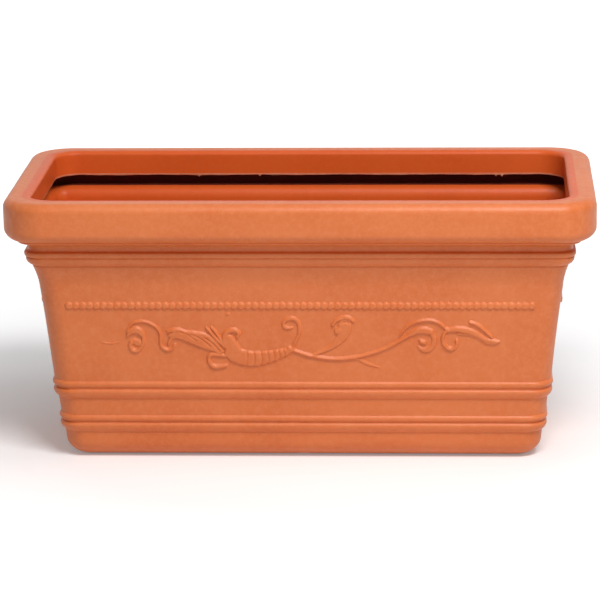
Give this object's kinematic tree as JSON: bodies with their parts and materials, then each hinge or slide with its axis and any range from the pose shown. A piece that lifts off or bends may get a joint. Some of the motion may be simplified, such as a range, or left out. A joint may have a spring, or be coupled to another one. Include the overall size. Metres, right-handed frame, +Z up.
{
  "type": "window box planter",
  "caption": "Long rectangular planter with a deep rounded rim, stepped mouldings, double beads, pull-out drain plugs and a lift-out drainage grid.",
  "frame": {"origin": "middle of the footprint, on the surface the planter stands on", "axes": "+X along the length, -Y out of the front face, +Z up"},
  "size_m": [0.8, 0.4, 0.372],
  "materials": {
    "terracotta_plastic": "powdery matte outside, smoother inside",
    "plug_rubber": "matte black",
    "grid_plastic": "dark brown, fine grained"
  },
  "bodies": {
    "planter": {"planter_shell": "terracotta_plastic"},
    "plug_front_left": {"drain_plug_front_left": "plug_rubber"},
    "plug_front_right": {"drain_plug_front_right": "plug_rubber"},
    "plug_back_left": {"drain_plug_back_left": "plug_rubber"},
    "plug_back_right": {"drain_plug_back_right": "plug_rubber"},
    "grid_left": {"drainage_grid_left": "grid_plastic"},
    "grid_right": {"drainage_grid_right": "grid_plastic"}
  },
  "joints": [
    {"name": "plug_front_left_pull", "type": "slide", "parent": "planter", "child": "plug_front_left", "axis": [0, 0, 1], "range_m": [0, 0.022]},
    {"name": "plug_front_right_pull", "type": "slide", "parent": "planter", "child": "plug_front_right", "axis": [0, 0, 1], "range_m": [0, 0.022]},
    {"name": "plug_back_left_pull", "type": "slide", "parent": "planter", "child": "plug_back_left", "axis": [0, 0, 1], "range_m": [0, 0.022]},
    {"name": "plug_back_right_pull", "type": "slide", "parent": "planter", "child": "plug_back_right", "axis": [0, 0, 1], "range_m": [0, 0.022]},
    {"name": "grid_left_lift", "type": "slide", "parent": "planter", "child": "grid_left", "axis": [0, 0, 1], "range_m": [0, 0.37]},
    {"name": "grid_right_lift", "type": "slide", "parent": "planter", "child": "grid_right", "axis": [0, 0, 1], "range_m": [0, 0.37]}
  ]
}
